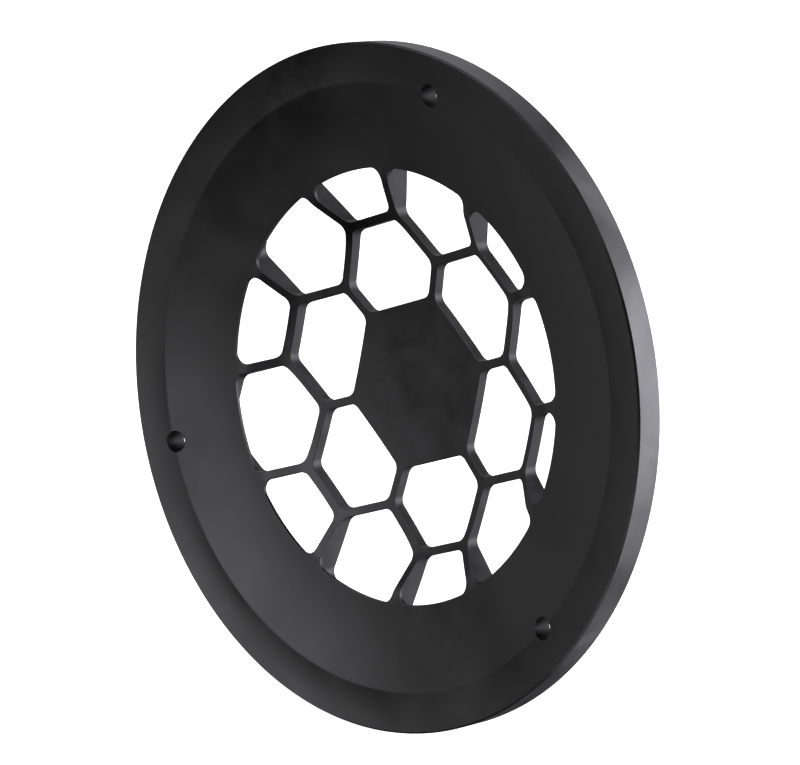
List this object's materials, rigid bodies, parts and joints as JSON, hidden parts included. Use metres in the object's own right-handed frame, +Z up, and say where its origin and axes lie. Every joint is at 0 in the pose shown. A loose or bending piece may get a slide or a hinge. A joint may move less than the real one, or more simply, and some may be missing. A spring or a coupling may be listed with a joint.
{
  "type": "honeycomb grid",
  "caption": "Dished black honeycomb grid: a screw-on front ring whose lip frames a machined core of large hexagonal cells with a solid middle.",
  "frame": {"origin": "centre of the circle of mounting holes, in the plane of the seating face at the back of the rim", "axes": "the grid stands upright: +Y along its axis out of the back (the dished front faces -Y), +Z up through one mounting hole, +X to the right of someone facing the back"},
  "size_m": [0.18, 0.0212, 0.18],
  "materials": {
    "ring_anodised": "satin",
    "core_anodised": "satin",
    "back_anodised": "satin",
    "screw_steel": "satin",
    "pin_steel": "satin"
  },
  "bodies": {
    "root": {"front_ring": "ring_anodised", "honeycomb_core": "core_anodised", "retaining_ring": "back_anodised", "retaining_screw_1": "screw_steel", "retaining_screw_2": "screw_steel", "retaining_screw_3": "screw_steel", "retaining_screw_4": "screw_steel", "retaining_screw_5": "screw_steel", "retaining_screw_6": "screw_steel", "locating_pin_1": "pin_steel", "locating_pin_2": "pin_steel"}
  },
  "joints": []
}
